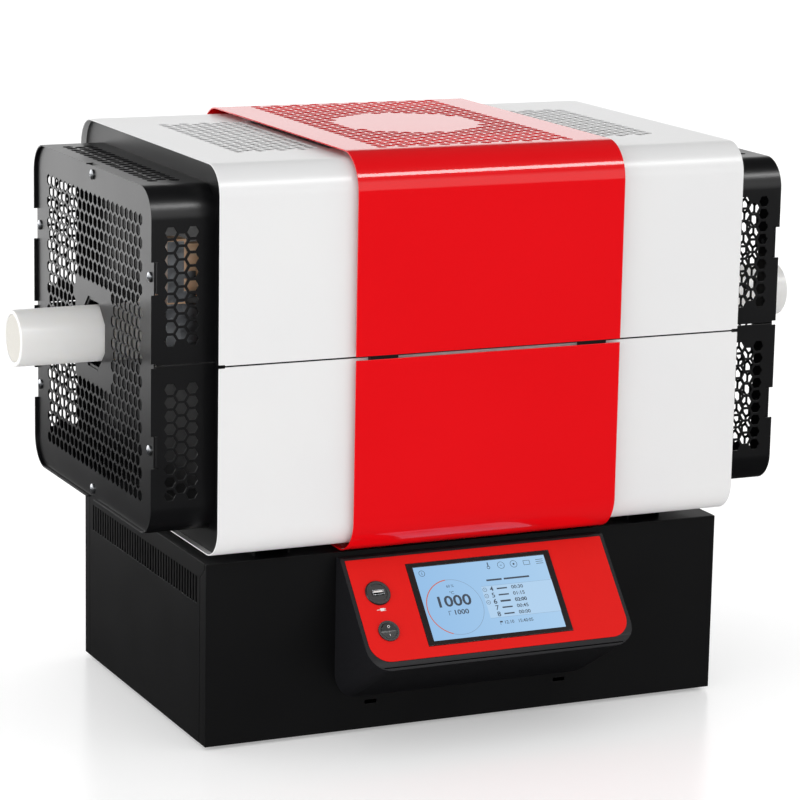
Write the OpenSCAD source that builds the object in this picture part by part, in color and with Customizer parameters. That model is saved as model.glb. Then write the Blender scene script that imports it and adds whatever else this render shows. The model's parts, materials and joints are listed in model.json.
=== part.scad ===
// Bench-top horizontal tube furnace: a heated body on a control base, with a loose work tube
// through it, perforated guards at both ends and a tilted touch-screen console in front.
// Millimetres. X runs along the tube, Y from front to back and Z up.

/* [Base cabinet] */
// width of the cabinet along the tube
base_w = 600; // [450:5:900]
// depth of the cabinet from front to back
base_d = 376; // [300:2:600]
// height of the cabinet's sheet metal
base_h = 196; // [176:1:300]
// height of the rubber feet
foot_h = 4; // [2:0.5:20]
// diameter of a rubber foot
foot_d = 30; // [16:1:50]
// distance of a foot's centre from the cabinet's sides
foot_inset = 45; // [20:1:90]
// thickness of all sheet metal
sheet = 1.5; // [1:0.1:2.5]
// depth of the front panel's returns round the sides
front_return = 17; // [10:1:40]
// depth of the rear panel's returns round the sides
rear_return = 15; // [10:1:40]
// height of the mitred corner where the front return meets the side panel
corner_mitre = 12; // [6:1:20]
// width of the seams between panels
panel_seam = 0.8; // [0.4:0.1:2]
// height of the flanges inside the floor and the top
tray_flange = 12; // [8:1:14]

/* [Side vents] */
// number of vent slots in a side panel
vent_count = 41; // [5:1:60]
// distance between vent slots
vent_pitch = 8; // [6:0.1:12]
// width of a vent slot
vent_w = 4; // [2:0.1:6]
// height of a vent slot
vent_h = 29; // [10:1:60]
// distance of the slots' top from the cabinet's top
vent_drop = 18; // [16:1:60]

/* [Heated body] */
// width of the white shells along the tube
shell_w = 600; // [450:5:900]
// depth of the white shells
shell_d = 422; // [340:2:600]
// height of the two white shells together
shell_h = 405; // [320:1:600]
// outer bend radius of the white shells
shell_r = 32; // [10:1:60]
// how far the body's middle lies in front of the cabinet's middle
body_forward = 9; // [0:1:30]
// gap between the cabinet's top and the body
body_lift = 11; // [8.5:0.5:40]
// gap between the upper and the lower shell
seam_gap = 1.6; // [0.6:0.1:4]
// how far the end walls lie inside the shells' rims
end_recess = 6; // [2:0.5:20]
// length of the notches at the ends of the seam
seam_notch_l = 7; // [3:0.5:15]
// height of the notches at the ends of the seam
seam_notch_h = 3.6; // [3:0.2:8]
// width of the rails under the body
rail_w = 40; // [20:1:80]
// distance of the rails from the middle
rail_x = 220; // [180:5:260]
// depth of the rails
rail_d = 340; // [200:5:400]
// height of the strips behind the seam
strip_h = 18; // [8:1:40]
// distance of the strips' ends from the end walls' outside
strip_in = 4; // [3:1:20]

/* [Red band] */
// width of the band round the body
band_w = 305; // [200:1:340]
// how far the band's outside stands off the white shells
band_stand = 7.5; // [4:0.1:8]
// gap between the band's upper and lower half
band_gap = 4; // [2:0.5:10]
// width of the brackets in the band's gap
bracket_w = 31; // [15:1:60]
// distance of the brackets' middle from the band's middle
bracket_x = 120.5; // [60:0.5:130]
// height of the brackets behind the band
bracket_h = 30; // [12:1:60]
// diameter of the spacers under the band
spacer_d = 14; // [8:1:24]
// distance of the spacers from the middle of the band
spacer_x = 128; // [115:1:140]

/* [Perforation] */
// distance between neighbouring holes
hole_pitch = 13.75; // [12:0.05:20]
// width of a hexagonal hole across its flats
hole_flats = 11; // [6:0.1:11.5]
// columns of holes on each side of the white top
white_columns = 8; // [2:1:9]
// holes in a long column of the white top
white_column_holes = 17; // [5:1:21]
// distance of the outermost white column from the middle
white_outer_x = 240; // [230:1:270]
// columns of holes in the red top
red_columns = 19; // [5:2:21]
// holes in a long column of the red top
red_column_holes = 26; // [6:1:26]
// radius of the plain disc in the middle of the red top
bare_r = 81; // [0:1:110]

/* [End guards] */
// how far a guard stands out beyond the white shell
guard_out = 63; // [45:1:110]
// depth of a guard
guard_d = 371; // [320:1:400]
// height of a guard's two halves together
guard_h = 359; // [310:1:390]
// outer bend radius of a guard
guard_r = 32; // [10:1:60]
// gap between the guard's halves
guard_gap = 1.2; // [0.4:0.1:4]
// how far the end plate lies inside the guard's rim
plate_recess = 3.5; // [1:0.5:10]
// width of the flange that seats a guard on its end wall
guard_flange = 12; // [6:1:20]
// height of the screw tabs in a guard's front and back
side_tab_w = 33.5; // [20:0.5:50]
// distance of the side tabs' middle from the tube's axis
side_tab_z = 89; // [50:1:120]
// width of the screw tab in a guard's top and bottom
top_tab_w = 20; // [16:0.5:40]
// length of a screw tab's flat
tab_l = 20; // [16:1:30]
// outer bend radius of a screw tab
tab_r = 3; // [2:0.5:6]
// distance of a side screw from the guard's outside
side_screw_in = 12.5; // [10:0.5:16]
// distance of a top or bottom screw from the guard's outside
top_screw_in = 11; // [10:0.5:16]
// columns of holes in a guard's front and back
guard_columns = 3; // [1:1:3]
// holes in a long column of a guard's front or back
guard_column_holes = 9; // [3:1:9]
// distance of the middle column from the guard's rim
guard_column_in = 32.7; // [28:0.1:60]
// height of the first hole's middle over the seam
guard_first_hole = 24.8; // [12:0.1:40]
// holes in a column of a guard's top
guard_top_holes = 20; // [3:1:22]

/* [End plates] */
// rows of holes in an end plate
plate_rows = 25; // [5:2:25]
// holes in a long row of an end plate
plate_row_holes = 22; // [4:1:24]
// rows left plain round the opening
plain_rows = 9; // [5:2:13]
// half the width left plain round the opening
plain_half_w = 58; // [50:1:80]
// width of the octagonal opening across its flats
opening_flats = 75; // [66:1:100]
// how much the backing plate's opening is smaller, on each side
opening_step = 3; // [1:0.5:4]
// side of the square backing plate
backing_w = 104; // [100:1:110]

/* [Screws] */
// diameter of a guard screw's head
screw_head_d = 10.5; // [6:0.1:12]
// height of a guard screw's head
screw_head_h = 3; // [1.5:0.1:3.4]
// diameter of a guard screw's shank
screw_d = 5; // [3:0.5:6]
// length of a guard screw's shank
screw_l = 10; // [6:1:20]
// width of the cross recess in a screw head
cross_w = 1; // [0.6:0.1:2]

/* [Work tube] */
// outer diameter of the work tube
tube_od = 60; // [40:1:64]
// inner diameter of the work tube
tube_id = 50; // [30:1:58]
// length of the tube to the left of the middle
tube_left = 448; // [400:1:600]
// length of the tube to the right of the middle
tube_right = 472; // [400:1:600]
// length of the fibre plugs in the tube's ends
plug_l = 60; // [20:1:100]
// how far a plug lies inside the tube's end
plug_in = 1; // [0.5:0.5:20]
// radial clearance between the tube and its collars
tube_clearance = 0.08; // [0.02:0.01:0.1]

/* [Heater] */
// inner diameter of the ceramic former round the tube
former_id = 68; // [62:1:80]
// outer diameter of the ceramic former
former_od = 90; // [80:1:110]
// distance of the ceramic former's ends from the inner casing's ends
former_in = 30; // [10:1:60]
// number of turns of the heating coil
coil_turns = 16; // [6:1:30]
// distance of the heating coil's ends from the former's ends
coil_in = 24; // [15:1:60]
// radius of the heating wire
wire_r = 1.6; // [1:0.1:3]
// direction of the leads round the former, from the back over the top
lead_angle = 130; // [110:1:160]
// how far the return lead lies outside the coil
return_out = 12; // [8:1:20]
// radius of an element lead
lead_r = 2; // [1:0.1:3]
// radius of the thermocouple's sheath
thermo_r = 3; // [1.5:0.5:4]
// width of the thermocouple's head
thermo_head = 24; // [16:1:40]

/* [Inner casing] */
// distance of the inner casing from the outside of the shells, on every side
casing_in = 30; // [16:1:40]
// outer diameter of the tube collars
collar_od = 80; // [72:1:90]
// how far a tube collar stands out of the end wall
collar_out = 4; // [0:1:20]
// width of the stands under the inner casing
stand_w = 30; // [16:1:60]
// distance of the stands from the middle
stand_x = 180; // [100:5:220]

/* [Terminals] */
// height of the terminal block over the tube's axis
terminal_z = 92; // [60:1:120]
// distance of the terminal block from the guard's front
terminal_in = 26; // [16:1:60]
// height of the terminal block
terminal_h = 66; // [40:1:90]
// depth of the terminal block
terminal_d = 22; // [16:1:30]

/* [Console] */
// tilt of the console's face from upright, in degrees
face_tilt = 41.5; // [20:0.5:60]
// width of the red overlay
overlay_w = 300; // [240:1:340]
// length of the red overlay down the face
overlay_l = 119; // [112:1:140]
// thickness of the overlay
overlay_t = 0.8; // [0.4:0.1:2]
// radius of the overlay's lower corners
overlay_r = 22; // [5:1:30]
// distance of the overlay's top edge in front of the cabinet
overlay_forward = 12; // [5:1:40]
// distance of the overlay's top edge below the cabinet's top
overlay_drop = 7; // [5:1:20]
// margin of the face beside and below the overlay
face_margin = 4.5; // [2:0.5:10]
// margin of the face above the overlay
face_top_margin = 3; // [1:0.5:6]
// height of the lip under the face
lip_h = 5; // [2:0.5:10]
// height of the console's lowest edge at the cabinet
console_z = 36; // [20:1:60]
// radius of the housing's lower edges
housing_r = 25; // [10:1:40]
// width of the hook slots under the console
hook_w = 14; // [6:1:20]

/* [Display] */
// width of the display's dark bezel
bezel_w = 168; // [150:1:180]
// height of the display's dark bezel
bezel_h = 96; // [90:1:100]
// width of the picture area
screen_w = 154; // [120:1:160]
// height of the picture area
screen_h = 86; // [70:1:88]
// distance of the bezel's top edge below the overlay's top edge
bezel_drop = 10.6; // [5:0.1:20]
// thickness of the bezel
bezel_t = 6; // [3:0.5:12]

/* [Socket and switch] */
// distance of the socket and the switch to the left of the middle
control_x = 124; // [110:0.5:130]
// distance of the socket's middle below the overlay's top edge
socket_down = 40.5; // [20:0.5:60]
// diameter of the socket's ring
socket_d = 28; // [20:0.5:30]
// width of the slot in the socket
slot_w = 13.2; // [10:0.1:16]
// height of the slot in the socket
slot_h = 5.8; // [4.4:0.1:8]
// distance of the switch's middle below the overlay's top edge
switch_down = 84.7; // [70:0.5:92]
// diameter of the switch's ring
switch_d = 23; // [20:0.5:30]
// radius of the rocker's well
well_r = 9; // [7:0.1:9.2]
// rocker's tilt from its middle position, in degrees
rocker_tilt = 10; // [5:1:12]
// radius of the rocker's pin
rocker_pin_r = 1.2; // [0.6:0.1:1.5]

/* [Mains inlet] */
// distance of the inlet's middle from the cabinet's right side
inlet_in = 80; // [40:5:200]
// height of the inlet's middle over the cabinet's bottom
inlet_z = 60; // [35:1:120]
// width of the inlet's flange
inlet_w = 50; // [40:1:60]
// height of the inlet's flange
inlet_h = 30; // [26:1:40]

/* [Electronics] */
// width of the relay's heat sink
sink_w = 90; // [40:1:120]
// length of the relay's heat sink
sink_l = 120; // [60:1:200]
// thickness of the heat sink's base
sink_t = 6; // [3:0.5:12]
// number of the heat sink's fins
fin_count = 9; // [3:1:15]
// thickness of a fin
fin_t = 2; // [1:0.1:4]
// height of the fins
fin_h = 40; // [10:1:80]
// width of the control board
board_w = 160; // [80:1:220]
// depth of the control board
board_d = 110; // [60:1:200]
// thickness of the control board
board_t = 1.6; // [1:0.1:3]
// height of the posts under the control board
post_h = 10; // [5:1:20]
// radius of the posts
post_r = 4; // [2:0.5:6]
// distance of the posts from the board's edges
post_in = 10; // [6:1:20]
// height of the transformer on the board
transformer_h = 36; // [15:1:60]

/* [Hidden] */

$fn = 64;
fit = 0.3;
pin_fit = 0.05;
glue = 0.05;
past = 1;
left = -1;
right = 1;
up = 1;
down = -1;

base_top = foot_h + base_h;
front_y = -base_d / 2;
rear_y = base_d / 2;
axis_y = -body_forward;
axis_z = base_top + body_lift + shell_h / 2;
row_pitch = hole_pitch * sqrt(3) / 2;

wall_x = shell_w / 2 - end_recess;
rim_x = shell_w / 2 + guard_out;
plate_x = rim_x - plate_recess - sheet;
tab_x = plate_x - tab_r;
screw_places = concat(
    [for (y = [-1, 1], z = [-1, 1]) [y * (guard_d / 2 - side_screw_in), z * side_tab_z]],
    [for (z = [-1, 1]) [0, z * (guard_h / 2 - top_screw_in)]]);
band_d = shell_d + 2 * band_stand;
band_h = shell_h + 2 * band_stand;
band_r = shell_r + band_stand;
band_room = band_stand - sheet;

casing_w = shell_w - 2 * casing_in;
casing_d = shell_d - 2 * casing_in;
casing_h = shell_h - 2 * casing_in;
former_l = casing_w - 2 * former_in;
coil_l = former_l - 2 * coil_in;
stand_d = min(casing_d, shell_d - 2 * shell_r) - 2 * past;
coil_steps = 16;
coil_pitch = coil_l / coil_turns;
coil_r = (former_od / 2 + fit + wire_r) / cos(180 / coil_steps);
chamber_r = coil_r + wire_r + 1;
return_r = coil_r + return_out;
thermo_turn = floor(coil_turns / 2);
thermo_x = -coil_l / 2 + coil_pitch * (thermo_turn + (90 - lead_angle) / 360 + 0.5);
lead_clear = 1;

overlay_y = front_y - overlay_forward;
overlay_z = base_top - overlay_drop;
face_top_y = overlay_y + face_top_margin * sin(face_tilt);
face_top_z = overlay_z + face_top_margin * cos(face_tilt);
face_l = face_top_margin + overlay_l + face_margin;
face_low_y = face_top_y - face_l * sin(face_tilt);
face_low_z = face_top_z - face_l * cos(face_tilt);
lip_y = face_low_y - sheet;
under_y = front_y;
under_z = foot_h + console_z;
under_angle = atan2(face_low_z - lip_h - under_z, under_y - lip_y);
housing_half_w = overlay_w / 2 + face_margin;
pivot_out = overlay_t;
inlet_x = base_w / 2 - inlet_in;
rocker_r = well_r - fit;
terminal_y = -guard_d / 2 + sheet + terminal_in;

// the part's origin: the middle of its outline, at the bottom
shift_x = (tube_right - tube_left) / 2;
rear_edge = max(rear_y, axis_y + band_d / 2);
shift_y = (lip_y + rear_edge) / 2;

module in_frame() translate([-shift_x, -shift_y, 0]) children();
module on_axis() translate([0, axis_y, axis_z]) children();
module at_end(side) on_axis() rotate([0, 0, side > 0 ? 0 : 180]) children();
module along_x(from, to) translate([from, 0, 0]) rotate([90, 0, 90]) linear_extrude(to - from) children();
module on_face(x, down_face) translate([0, overlay_y, overlay_z]) rotate([90 - face_tilt, 0, 0])
    translate([x, -down_face, glue]) children();

// ---- shapes that repeat ----

module rounded(w, h, r) {
    square([w - 2 * r, h], center = true);
    square([w, h - 2 * r], center = true);
    for (sx = [-1, 1], sy = [-1, 1]) translate([sx * (w / 2 - r), sy * (h / 2 - r)]) circle(r);
}

module half_ring(w, h, r, thick, gap, half) intersection() {
    difference() {
        rounded(w, h, r);
        rounded(w - 2 * thick, h - 2 * thick, max(r - thick, 0.5));
    }
    translate([-w, half > 0 ? gap / 2 : -h]) square([2 * w, h - gap / 2]);
}

// columns of hexagons along y, every second one shifted by half a pitch
module hexagons(columns, holes, bare = 0) {
    for (c = [0 : columns - 1]) {
        x = (c - (columns - 1) / 2) * row_pitch;
        short = c % 2;
        for (k = [0 : holes - 1 - short]) {
            y = (k - (holes - 1 - short) / 2) * hole_pitch;
            if (norm([x, y]) >= bare) translate([x, y]) circle(hole_flats / sqrt(3), $fn = 6);
        }
    }
}

module octagon(flats) rotate(22.5) circle(flats / 2 / cos(22.5), $fn = 8);

module tray(w, d, flange, rises) {
    linear_extrude(sheet) square([w, d], center = true);
    translate([0, 0, rises > 0 ? 0 : sheet - flange]) linear_extrude(flange) difference() {
        square([w, d], center = true);
        square([w - 2 * sheet, d - 2 * sheet], center = true);
    }
}

module rod(from, to, r) {
    run = to - from;
    translate(from) rotate([0, acos(run[2] / norm(run)), atan2(run[1], run[0])])
        cylinder(h = norm(run), r = r);
}

// ---- base cabinet ----

module cabinet_tray(z, rises) translate([0, 0, z])
    tray(base_w - 2 * sheet - 2 * fit, base_d - 2 * sheet - 2 * fit, tray_flange, rises);

module base_floor() color("#1c1c1e") cabinet_tray(foot_h, up);
module base_top_panel() color("#1c1c1e") cabinet_tray(base_top - sheet, down);

module front_corner(gap) {
    low = base_h - corner_mitre - 6;
    edge = front_return + gap;
    polygon([[-past, -past], [edge, -past], [edge, low], [edge - corner_mitre - 1, low + corner_mitre],
        [edge - corner_mitre - 1, base_h + past], [-past, base_h + past]]);
}

module front_returns(gap) for (x = [-base_w / 2, base_w / 2 - sheet]) translate([x, front_y, foot_h])
    rotate([90, 0, 90]) linear_extrude(sheet) intersection() {
        front_corner(gap);
        square([base_d, base_h]);
    }

module front_panel() color("#1c1c1e") {
    difference() {
        translate([-base_w / 2, front_y, foot_h]) cube([base_w, sheet, base_h]);
        translate([-overlay_w / 2 + 40, front_y - past, under_z + 30])
            cube([overlay_w - 80, sheet + 2 * past, base_top - under_z - 70]);
        for (x = [-1, 1]) translate([x * 112 - hook_w / 2, front_y - past, under_z - 9])
            cube([hook_w, sheet + 2 * past, 4]);
    }
    difference() {
        front_returns(0);
        translate([-base_w, front_y - past, 0]) cube([2 * base_w, sheet + past, base_top + past]);
    }
}

module side_panel(side) color("#1c1c1e") {
    from = side > 0 ? base_w / 2 - sheet : -base_w / 2;
    translate([from, front_y, foot_h]) rotate([90, 0, 90]) linear_extrude(sheet) difference() {
        square([base_d - rear_return - panel_seam, base_h]);
        front_corner(panel_seam);
        for (k = [0 : vent_count - 1])
            translate([base_d / 2 + (k - (vent_count - 1) / 2) * vent_pitch - vent_w / 2,
                base_h - vent_drop - vent_h]) square([vent_w, vent_h]);
    }
}

module rear_panel() color("#1c1c1e") {
    difference() {
        translate([-base_w / 2, rear_y - sheet, foot_h]) cube([base_w, sheet, base_h]);
        translate([inlet_x, rear_y, foot_h + inlet_z])
            cube([inlet_w - 12, 4 * sheet, inlet_h - 6], center = true);
    }
    for (x = [-base_w / 2, base_w / 2 - sheet]) translate([x, rear_y - rear_return, foot_h])
        cube([sheet, rear_return - sheet, base_h]);
}

module rubber_feet() color("#141414") for (sx = [-1, 1], sy = [-1, 1])
    translate([sx * (base_w / 2 - foot_inset), sy * (base_d / 2 - foot_inset), 0])
        cylinder(h = foot_h, d1 = foot_d - 4, d2 = foot_d);

module mains_inlet() color("#18181a") translate([inlet_x, rear_y, foot_h + inlet_z]) rotate([-90, 0, 0]) {
    difference() {
        union() {
            translate([-inlet_w / 2, -inlet_h / 2, 0]) cube([inlet_w, inlet_h, 3]);
            translate([-inlet_w / 2 + 6 + fit, -inlet_h / 2 + 3 + fit, -30])
                cube([inlet_w - 12 - 2 * fit, inlet_h - 6 - 2 * fit, 30]);
        }
        translate([-14, -10, -20]) cube([28, 20, 30]);
    }
    for (x = [-8, 0, 8]) translate([x - 1, -3.5, -21]) cube([2, 7, 18]);
}

module solid_state_relay() color("#b9bcc0") translate([-base_w / 4, 0, foot_h + sheet]) {
    translate([-sink_w / 2, -sink_l / 2, 0]) cube([sink_w, sink_l, sink_t]);
    for (k = [0 : fin_count - 1])
        translate([k * (sink_w - fin_t) / (fin_count - 1) - sink_w / 2, -sink_l / 2, sink_t])
            cube([fin_t, sink_l, fin_h]);
}

module control_board() color("#2f6b45") translate([base_w / 6, -base_d / 20, foot_h + sheet]) {
    for (x = [-1, 1], y = [-1, 1]) translate([x * (board_w / 2 - post_in), y * (board_d / 2 - post_in), 0])
        cylinder(h = post_h, r = post_r);
    translate([-board_w / 2, -board_d / 2, post_h]) cube([board_w, board_d, board_t]);
    translate([-board_w * 0.4, -board_d * 0.3, post_h + board_t])
        cube([board_w * 0.3, board_d * 0.4, transformer_h]);
    translate([board_w * 0.1, -board_d * 0.3, post_h + board_t])
        cube([board_w * 0.25, board_d * 0.55, transformer_h * 0.4]);
}

// ---- console ----

module console_form(inset, back) {
    half_w = housing_half_w - inset;
    run = 2 * base_d;
    drop = inset / cos(under_angle);
    intersection() {
        translate([-half_w, 0, 0]) rotate([90, 0, 90]) linear_extrude(2 * half_w) polygon([
            [back, face_top_z - inset],
            [face_top_y, face_top_z - inset],
            [face_low_y, face_low_z],
            [lip_y + inset, face_low_z],
            [lip_y + inset, face_low_z - lip_h + drop - inset * tan(under_angle)],
            [back, face_low_z - lip_h + drop - (back - lip_y) * tan(under_angle)]]);
        translate([0, lip_y, face_low_z - lip_h]) rotate([-under_angle, 0, 0])
            translate([0, run / 2, inset]) rotate([90, 0, 0]) linear_extrude(run, center = true) {
                r = max(housing_r - inset, 1);
                translate([-half_w, r]) square([2 * half_w, base_d]);
                translate([-half_w + r, 0]) square([2 * (half_w - r), base_d]);
                for (x = [-1, 1]) translate([x * (half_w - r), r]) circle(r);
            }
    }
}

module face_cut() translate([0, 0, -3 * sheet]) linear_extrude(4 * sheet) children();

module console_housing() color("#1c1c1e") difference() {
    console_form(0, under_y - fit);
    intersection() {
        console_form(sheet, under_y + past);
        on_face(0, 0) translate([-base_w / 2, -base_w, -base_w - sheet]) cube([base_w, 2 * base_w, base_w]);
    }
    on_face(0, bezel_drop + bezel_h / 2) face_cut() square([bezel_w - 6, bezel_h - 6], center = true);
    on_face(-control_x, socket_down) face_cut() circle(socket_d / 2 - 3 + fit);
    on_face(-control_x, switch_down) face_cut() circle(switch_d / 2 - 1.5 + fit);
}

module overlay_outline() {
    translate([-overlay_w / 2, -overlay_l + overlay_r]) square([overlay_w, overlay_l - overlay_r]);
    translate([-overlay_w / 2 + overlay_r, -overlay_l]) square([overlay_w - 2 * overlay_r, overlay_r]);
    for (x = [-1, 1])
        translate([x * (overlay_w / 2 - overlay_r), -overlay_l + overlay_r]) circle(overlay_r);
}

module console_overlay() color("#e4231f") on_face(0, 0) linear_extrude(overlay_t) difference() {
    overlay_outline();
    translate([0, -bezel_drop - bezel_h / 2]) square([bezel_w + 2 * fit, bezel_h + 2 * fit], center = true);
    translate([-control_x, -socket_down]) circle(socket_d / 2 - 3 + fit);
    translate([-control_x, -switch_down]) circle(switch_d / 2 - 1.5 + fit);
}

module display_bezel() color("#23231f") on_face(0, bezel_drop + bezel_h / 2) difference() {
    union() {
        linear_extrude(overlay_t + 0.6) square([bezel_w, bezel_h], center = true);
        translate([0, 0, -bezel_t]) linear_extrude(bezel_t)
            square([bezel_w - 7, bezel_h - 7], center = true);
    }
    translate([0, 0, -bezel_t + 2]) linear_extrude(bezel_t + past)
        square([screen_w, screen_h], center = true);
}

module display_screen() color("#a9cbef") on_face(0, bezel_drop + bezel_h / 2)
    translate([0, 0, -bezel_t + 2]) linear_extrude(bezel_t - 2 + overlay_t + 0.3)
        square([screen_w - 2 * fit, screen_h - 2 * fit], center = true);

module usb_socket() color("#1a1a1a") on_face(-control_x, socket_down) difference() {
    union() {
        translate([0, 0, overlay_t]) cylinder(h = 1, d = socket_d);
        translate([0, 0, overlay_t + 1]) cylinder(h = 1, d1 = socket_d, d2 = socket_d - 2);
        translate([0, 0, -18]) cylinder(h = 18 + overlay_t, r = socket_d / 2 - 3);
    }
    translate([0, 0, -12]) linear_extrude(40) difference() {
        square([slot_w, slot_h], center = true);
        translate([-slot_w / 2 + 1, 0.4]) square([slot_w - 2, 1]);
    }
    translate([0, 0, overlay_t + 1.2]) cylinder(h = 4, d = socket_d - 8);
}

module power_switch_body() color("#161616") on_face(-control_x, switch_down) {
    difference() {
        union() {
            translate([0, 0, -20]) cylinder(h = 20 + overlay_t, r = switch_d / 2 - 1.5);
            translate([0, 0, overlay_t]) cylinder(h = 1.5, d = switch_d);
        }
        translate([0, 0, -10]) cylinder(h = 40, r = well_r);
        translate([0, 0, pivot_out]) rotate([0, 90, 0])
            cylinder(h = 2 * (well_r + 0.6), r = rocker_pin_r + pin_fit, center = true);
    }
    for (y = [-5, 0, 5]) translate([-3, y - 0.4, -28]) cube([6, 0.8, 8]);
}

module power_switch_rocker() color("#202022") on_face(-control_x, switch_down)
    translate([0, 0, pivot_out]) rotate([rocker_tilt, 0, 0]) {
        intersection() {
            sphere(rocker_r);
            rotate([90, 0, 90]) linear_extrude(4 * well_r, center = true) polygon([
                [0, 1.2], [2 * well_r, 1.2 + 2 * well_r * tan(rocker_tilt)], [2 * well_r, -5],
                [-2 * well_r, -5], [-2 * well_r, 1.2 + 2 * well_r * tan(rocker_tilt)]]);
        }
        rotate([0, 90, 0]) cylinder(h = 2 * (well_r + 0.4), r = rocker_pin_r, center = true);
    }

// ---- heated body ----

module body_rails() color("#2a2a2c") for (s = [-1, 1]) translate([s * rail_x, 0, base_top]) difference() {
    translate([-rail_w / 2, -rail_d / 2, 0]) cube([rail_w, rail_d, body_lift]);
    translate([-rail_w / 2 + sheet, -rail_d, -past])
        cube([rail_w - 2 * sheet, 2 * rail_d, body_lift - sheet + past]);
}

module shell_half(half) on_axis() difference() {
    along_x(-shell_w / 2, shell_w / 2) half_ring(shell_d, shell_h, shell_r, sheet, seam_gap, half);
    for (s = [-1, 1]) translate([s * shell_w / 2, 0, 0])
        cube([2 * seam_notch_l, 2 * shell_d, seam_notch_h], center = true);
    if (half > 0) {
        opening_w = band_w - 2 * hole_flats;
        opening_d = (white_column_holes - 1) * hole_pitch + hole_flats;
        translate([-opening_w / 2, -opening_d / 2, shell_h / 2 - 2 * sheet])
            cube([opening_w, opening_d, 4 * sheet]);
        for (s = [-1, 1])
            translate([s * (white_outer_x - (white_columns - 1) / 2 * row_pitch), 0, shell_h / 2])
                linear_extrude(4 * sheet, center = true) hexagons(white_columns, white_column_holes);
    }
}

module lower_shell() color("#e8e8e8") shell_half(down);
module upper_shell() color("#e8e8e8") shell_half(up);

module seam_strips() color("#1c1c1e") on_axis() for (s = [-1, 1]) {
    y = s > 0 ? shell_d / 2 - 2 * sheet : -shell_d / 2 + sheet;
    translate([-wall_x + strip_in, y, -strip_h / 2]) cube([2 * (wall_x - strip_in), sheet, strip_h]);
}

module band_half(half) on_axis() difference() {
    union() {
        along_x(-band_w / 2, band_w / 2) half_ring(band_d, band_h, band_r, sheet, band_gap, half);
        for (x = [-band_w / 2, band_w / 2 - sheet]) along_x(x, x + sheet)
            half_ring(band_d, band_h, band_r, band_stand - fit, band_gap, half);
    }
    if (half > 0) translate([0, 0, band_h / 2 - 2 * sheet]) linear_extrude(4 * sheet)
        hexagons(red_columns, red_column_holes, bare_r);
}

module lower_band() color("#e20a14") band_half(down);
module upper_band() color("#e20a14") band_half(up);

module band_seam_brackets() color("#1c1c1e") on_axis() for (sx = [-1, 1], sy = [0, 180]) rotate([0, 0, sy])
    translate([sx * bracket_x - bracket_w / 2, -shell_d / 2 - band_room, 0]) {
        translate([0, fit, -bracket_h / 2]) cube([bracket_w, band_room - fit, bracket_h]);
        translate([0, -sheet / 2, -band_gap / 2 + fit])
            cube([bracket_w, sheet / 2 + 2 * fit, band_gap - 2 * fit]);
    }

module band_spacers() color("#1c1c1e") on_axis() for (sx = [-1, 1], sy = [-1, 1], sz = [0, 180])
    rotate([sz, 0, 0]) translate([sx * spacer_x, sy * shell_d / 3, shell_h / 2])
        cylinder(h = band_room, d = spacer_d);

module end_wall(side) color("#1c1c1e") at_end(side) difference() {
    along_x(wall_x - sheet, wall_x) difference() {
        rounded(shell_d - 2 * sheet - 2 * fit, shell_h - 2 * sheet - 2 * fit, shell_r - sheet - fit);
        circle(d = collar_od + 2 * fit);
    }
    if (side < 0) for (r = [coil_r, return_r]) lead_hole(r, 180 - lead_angle, base_w, lead_clear);
}

module left_end_wall() end_wall(left);
module right_end_wall() end_wall(right);

// ---- inner casing and heater; angles are turned half way round at the left end ----

module lead_hole(r, angle, to, clear) rotate([angle, 0, 0]) translate([-base_w, r, 0])
    rotate([0, 90, 0]) cylinder(h = base_w + to, r = lead_r + clear);

module casing_half(half) color("#a7a9ac") on_axis() difference() {
    intersection() {
        difference() {
            cube([casing_w, casing_d, casing_h], center = true);
            cube([casing_w - 2 * sheet, casing_d - 2 * sheet, casing_h - 2 * sheet], center = true);
        }
        translate([-casing_w, -casing_d, half > 0 ? fit / 2 : -casing_h])
            cube([2 * casing_w, 2 * casing_d, casing_h - fit / 2]);
    }
    rotate([0, 90, 0]) cylinder(h = 2 * casing_w, d = collar_od + 2 * fit, center = true);
    if (half > 0) {
        for (r = [coil_r, return_r]) lead_hole(r, lead_angle, -coil_l / 2, lead_clear);
        translate([thermo_x, 0, 0]) cylinder(h = casing_h, r = thermo_r + fit);
    }
}

module lower_casing() casing_half(down);
module upper_casing() casing_half(up);

module casing_stands() color("#8a8c90") on_axis() for (s = [-1, 1])
    translate([s * stand_x - stand_w / 2, -stand_d / 2, -shell_h / 2 + sheet]) difference() {
        high = casing_in - sheet;
        cube([stand_w, stand_d, high]);
        translate([sheet, -past, sheet]) cube([stand_w - 2 * sheet, stand_d + 2 * past, high - 2 * sheet]);
    }

module insulation_half(half) color("#efece4") on_axis() difference() {
    wide = casing_w - 2 * sheet - 2 * fit;
    deep = casing_d - 2 * sheet - 2 * fit;
    high = casing_h / 2 - sheet - 2 * fit;
    translate([-wide / 2, -deep / 2, half > 0 ? fit / 2 : -high - fit / 2]) cube([wide, deep, high]);
    rotate([0, 90, 0]) cylinder(h = 2 * wide, r = former_od / 2 + fit, center = true);
    rotate([0, 90, 0]) cylinder(h = coil_l + 4 * wire_r, r = chamber_r, center = true);
    if (half > 0) {
        lead_hole(coil_r, lead_angle, -coil_l / 2, lead_clear);
        lead_hole(return_r, lead_angle, coil_l / 2 + lead_r, lead_clear);
        rotate([lead_angle, 0, 0]) translate([coil_l / 2 - lead_clear, coil_r, -lead_r - lead_clear])
            cube([2 * (lead_r + lead_clear), return_out + lead_r + lead_clear, 2 * (lead_r + lead_clear)]);
        translate([thermo_x, 0, 0]) cylinder(h = casing_h, r = thermo_r + fit);
    }
}

module lower_insulation() insulation_half(down);
module upper_insulation() insulation_half(up);

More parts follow.
